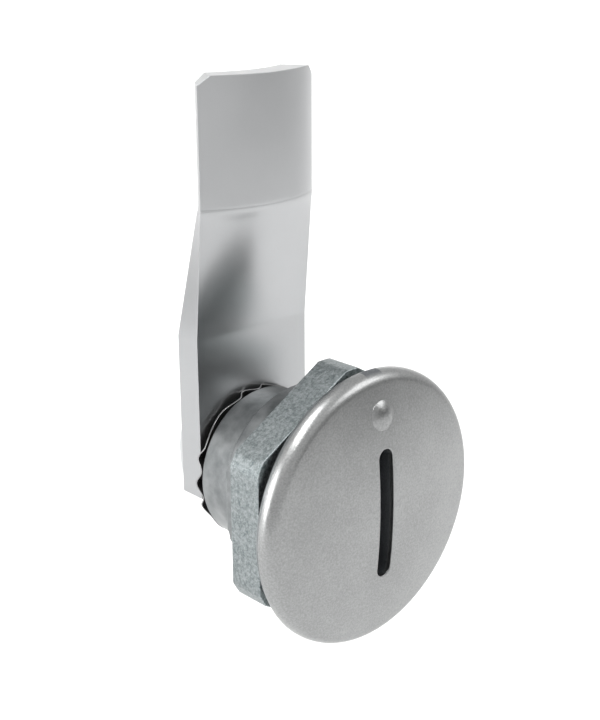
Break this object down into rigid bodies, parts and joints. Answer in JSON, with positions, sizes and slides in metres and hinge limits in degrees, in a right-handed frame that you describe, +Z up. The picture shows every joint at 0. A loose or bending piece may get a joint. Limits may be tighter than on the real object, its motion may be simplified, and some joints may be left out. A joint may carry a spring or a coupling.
{
  "type": "quarter-turn cam latch",
  "caption": "Quarter-turn cam latch for a panel door: low domed head with a coin slot, threaded housing, hexagon nut, wave spring and a stepped cam with an arched tongue.",
  "frame": {"origin": "on the turning axis, in the plane of the housing flange's rear face, where the panel seats", "axes": "+Y along the turning axis towards the cam, away from the domed head; +Z up, the way the cam points at rest"},
  "size_m": [0.031, 0.0292, 0.0603],
  "materials": {
    "blasted_metal": "fine bead-blasted satin",
    "cast_zinc": "grainy galvanised grey",
    "plated_steel": "smooth satin plating",
    "spring_steel": "bright spring strip",
    "seal_rubber": "matte black"
  },
  "bodies": {
    "body": {"housing": "cast_zinc", "panel_gasket": "seal_rubber", "hex_nut": "cast_zinc"},
    "rotor": {"domed_head": "blasted_metal", "spindle_o_ring": "seal_rubber", "stop_disc": "plated_steel", "wave_washer": "spring_steel", "cam": "plated_steel", "lock_washer": "spring_steel", "cam_screw": "plated_steel"}
  },
  "joints": [
    {"name": "quarter_turn", "type": "hinge", "parent": "body", "child": "rotor", "pos_m": [0, 0, 0], "axis": [0, 1, 0], "range_deg": [0, 90]}
  ]
}
